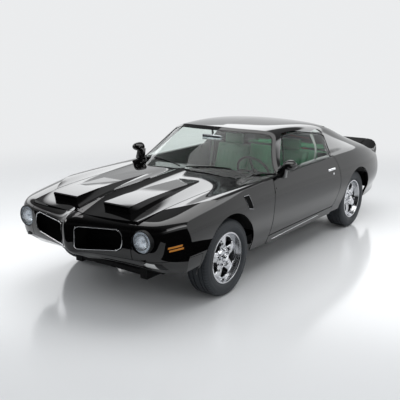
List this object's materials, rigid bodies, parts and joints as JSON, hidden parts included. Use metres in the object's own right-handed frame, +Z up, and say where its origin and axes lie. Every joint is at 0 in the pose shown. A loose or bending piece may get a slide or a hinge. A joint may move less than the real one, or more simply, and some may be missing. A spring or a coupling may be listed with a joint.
{
  "type": "two-door muscle car",
  "caption": "Black two-door muscle car with opening doors, hood and deck lid, steered front wheels and a green cabin.",
  "frame": {"origin": "centre of the overall box on the ground the tyres stand on", "axes": "+Y towards the tail, +X towards the car's left side, +Z up"},
  "size_m": [2.0264, 4.8664, 1.3277],
  "materials": {
    "body_paint": "gloss",
    "chassis_steel": "satin",
    "exhaust_steel": "satin",
    "chrome": "polished",
    "black_plastic": "matte",
    "lamp_glass": "gloss",
    "red_lens": "gloss",
    "window_glass": "gloss",
    "black_trim": "satin",
    "green_vinyl": "satin",
    "rubber": "matte",
    "polished_alloy": "polished"
  },
  "bodies": {
    "body": {"fender_left": "body_paint", "fender_right": "body_paint", "nose": "body_paint", "grilles": "black_plastic", "front_valance": "body_paint", "marker_lamps": "lamp_glass", "headlamps": "lamp_glass", "cowl": "body_paint", "windscreen": "window_glass", "roof": "body_paint", "rear_window": "window_glass", "door_hinges": "chassis_steel", "quarter_left": "body_paint", "quarter_right": "body_paint", "tulip_panel": "body_paint", "tail_panel": "body_paint", "tail_lamps": "red_lens", "rear_bumper": "chrome", "floor_pan": "chassis_steel", "front_subframe": "chassis_steel", "suspension_arms": "chassis_steel", "inner_fenders": "chassis_steel", "radiator": "chassis_steel", "engine": "chassis_steel", "prop_shaft": "chassis_steel", "rear_axle": "chassis_steel", "exhaust": "exhaust_steel", "fuel_tank": "chassis_steel", "dashboard": "black_trim", "console": "green_vinyl", "front_seats": "green_vinyl", "rear_seat": "green_vinyl", "rear_shelf": "green_vinyl"},
    "door_left": {"door_left": "body_paint", "door_glass_left": "window_glass", "door_mirror_left": "chrome"},
    "door_right": {"door_right": "body_paint", "door_glass_right": "window_glass", "door_mirror_right": "chrome"},
    "hood": {"hood": "body_paint"},
    "deck_lid": {"deck_lid": "body_paint"},
    "steering_wheel": {"steering_wheel": "black_trim"},
    "knuckle_left": {"knuckle_left": "chassis_steel"},
    "knuckle_right": {"knuckle_right": "chassis_steel"},
    "wheel_front_left": {"tyre_fl": "rubber", "rim_fl": "polished_alloy"},
    "wheel_front_right": {"tyre_fr": "rubber", "rim_fr": "polished_alloy"},
    "wheel_rear_left": {"tyre_rl": "rubber", "rim_rl": "polished_alloy"},
    "wheel_rear_right": {"tyre_rr": "rubber", "rim_rr": "polished_alloy"}
  },
  "joints": [
    {"name": "door_left_swing", "type": "hinge", "parent": "body", "child": "door_left", "pos_m": [0.888, -0.6, 0.62], "axis": [0, 0, -1], "range_deg": [0, 65]},
    {"name": "door_right_swing", "type": "hinge", "parent": "body", "child": "door_right", "pos_m": [-0.888, -0.6, 0.62], "axis": [0, 0, 1], "range_deg": [0, 65]},
    {"name": "hood_lift", "type": "hinge", "parent": "body", "child": "hood", "pos_m": [0, -0.815, 0.866], "axis": [-1, 0, 0], "range_deg": [0, 42]},
    {"name": "deck_lid_lift", "type": "hinge", "parent": "body", "child": "deck_lid", "pos_m": [0, 1.4, 1], "axis": [1, 0, 0], "range_deg": [0, 45]},
    {"name": "steer_left", "type": "hinge", "parent": "body", "child": "knuckle_left", "pos_m": [0.69, -1.393, 0.338], "axis": [0, 0, 1], "range_deg": [-33, 33]},
    {"name": "steer_right", "type": "hinge", "parent": "body", "child": "knuckle_right", "pos_m": [-0.69, -1.393, 0.338], "axis": [0, 0, 1], "range_deg": [-33, 33]},
    {"name": "steering_wheel_turn", "type": "hinge", "parent": "body", "child": "steering_wheel", "pos_m": [0.372, -0.15, 0.838], "axis": [0, 0.8829, 0.4695], "range_deg": [-430, 430]},
    {"name": "spin_front_left", "type": "hinge", "parent": "knuckle_left", "child": "wheel_front_left", "pos_m": [0.778, -1.393, 0.338], "axis": [1, 0, 0], "continuous": true},
    {"name": "spin_front_right", "type": "hinge", "parent": "knuckle_right", "child": "wheel_front_right", "pos_m": [-0.778, -1.393, 0.338], "axis": [1, 0, 0], "continuous": true},
    {"name": "spin_rear_left", "type": "hinge", "parent": "body", "child": "wheel_rear_left", "pos_m": [0.762, 1.352, 0.338], "axis": [1, 0, 0], "continuous": true},
    {"name": "spin_rear_right", "type": "hinge", "parent": "body", "child": "wheel_rear_right", "pos_m": [-0.762, 1.352, 0.338], "axis": [1, 0, 0], "continuous": true}
  ],
  "couplings": [
    {"joint": "steer_right", "follows": "steer_left", "ratio": 1},
    {"joint": "steering_wheel_turn", "follows": "steer_left", "ratio": 13}
  ]
}
